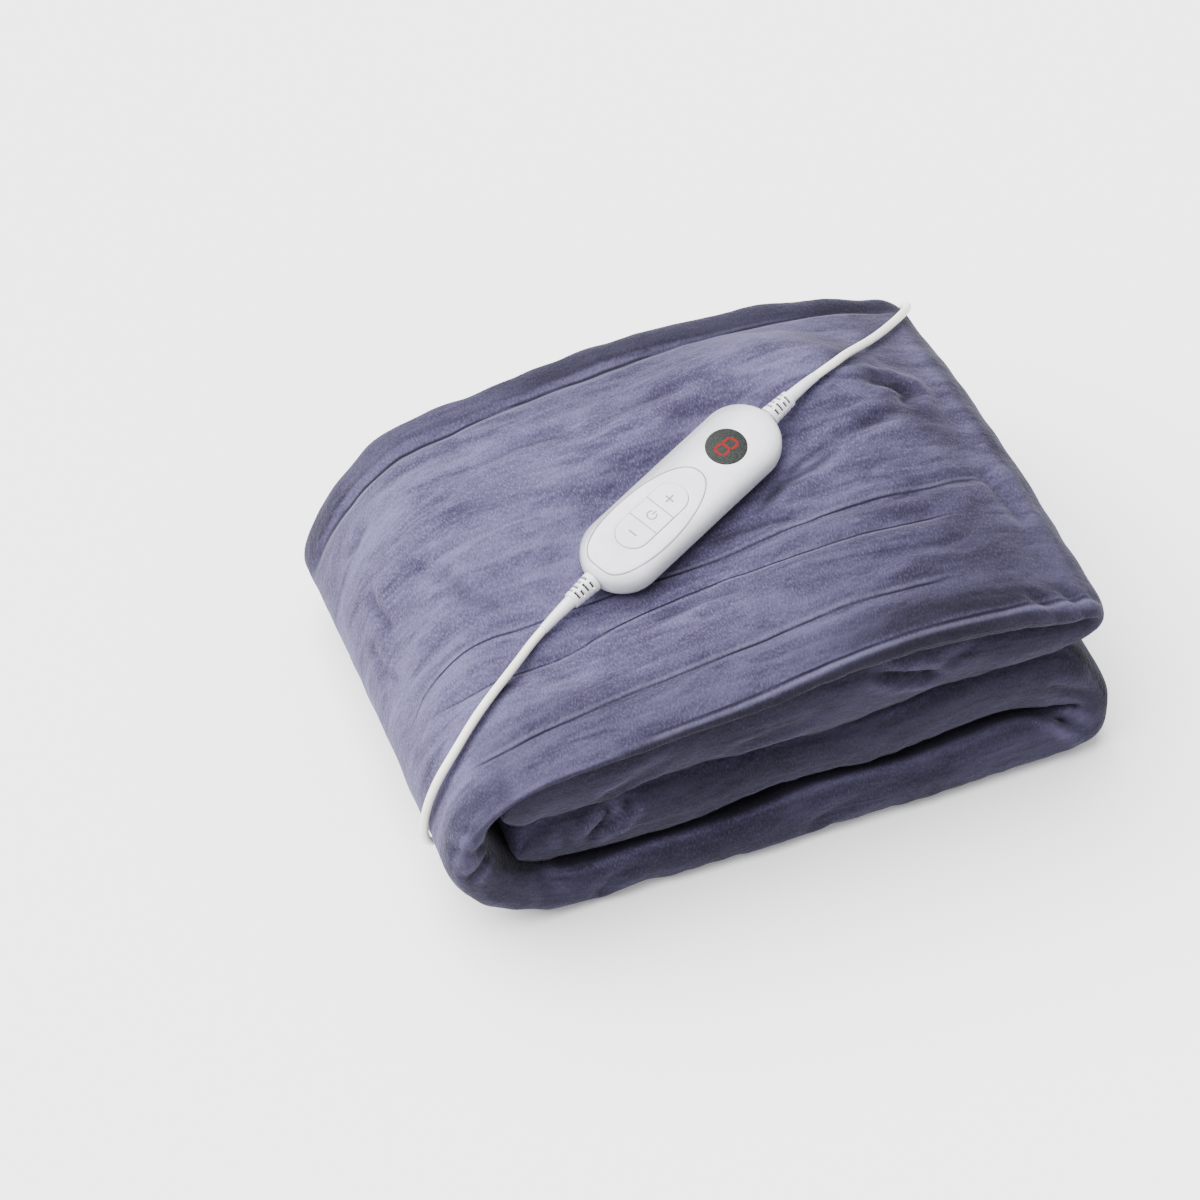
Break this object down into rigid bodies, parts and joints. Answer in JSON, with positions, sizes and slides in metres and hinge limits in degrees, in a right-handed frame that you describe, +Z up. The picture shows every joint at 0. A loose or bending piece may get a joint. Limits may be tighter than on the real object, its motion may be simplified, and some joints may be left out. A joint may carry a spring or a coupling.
{
  "type": "electric heated blanket",
  "caption": "Plush heated throw folded into a low stack, with a keyed hand controller with a digit display lying on it, its leads and a coiled mains lead with plug.",
  "frame": {"origin": "bottom centre of the folded stack and controller, on the surface that the stack rests on", "axes": "+X runs along the folds from the big left-hand fold to the two right-hand folds, +Y from the front edge of the layers to the rear, +Z up"},
  "size_m": [0.3714, 0.3445, 0.1631],
  "materials": {
    "plush_fabric": "short-pile plush, grey violet",
    "white_plastic": "glossy white",
    "key_film": "satin white",
    "dark_window": "smoked, glossy",
    "cord_white": "satin warm white",
    "pin_metal": "plated"
  },
  "bodies": {
    "root": {"blanket": "plush_fabric", "controller_base": "white_plastic", "controller_cover": "white_plastic", "relief_upper": "white_plastic", "relief_lower": "white_plastic", "mains_plug": "white_plastic", "display_window": "dark_window", "key_panel": "key_film", "mains_cord": "cord_white", "mains_tail": "cord_white", "mains_coil": "cord_white", "blanket_lead": "cord_white", "plug_pin_1": "pin_metal", "plug_pin_2": "pin_metal"},
    "minus_button": {"key_minus": "key_film"},
    "power_button": {"key_power": "key_film"},
    "plus_button": {"key_plus": "key_film"}
  },
  "joints": [
    {"name": "press_minus", "type": "slide", "parent": "root", "child": "minus_button", "axis": [-0.1027, -0.2096, 0.9724], "range_m": [-0.0006, 0], "stiffness_N_per_m": 400},
    {"name": "press_power", "type": "slide", "parent": "root", "child": "power_button", "axis": [-0.1027, -0.2096, 0.9724], "range_m": [-0.0006, 0], "stiffness_N_per_m": 400},
    {"name": "press_plus", "type": "slide", "parent": "root", "child": "plus_button", "axis": [-0.1027, -0.2096, 0.9724], "range_m": [-0.0006, 0], "stiffness_N_per_m": 400}
  ]
}
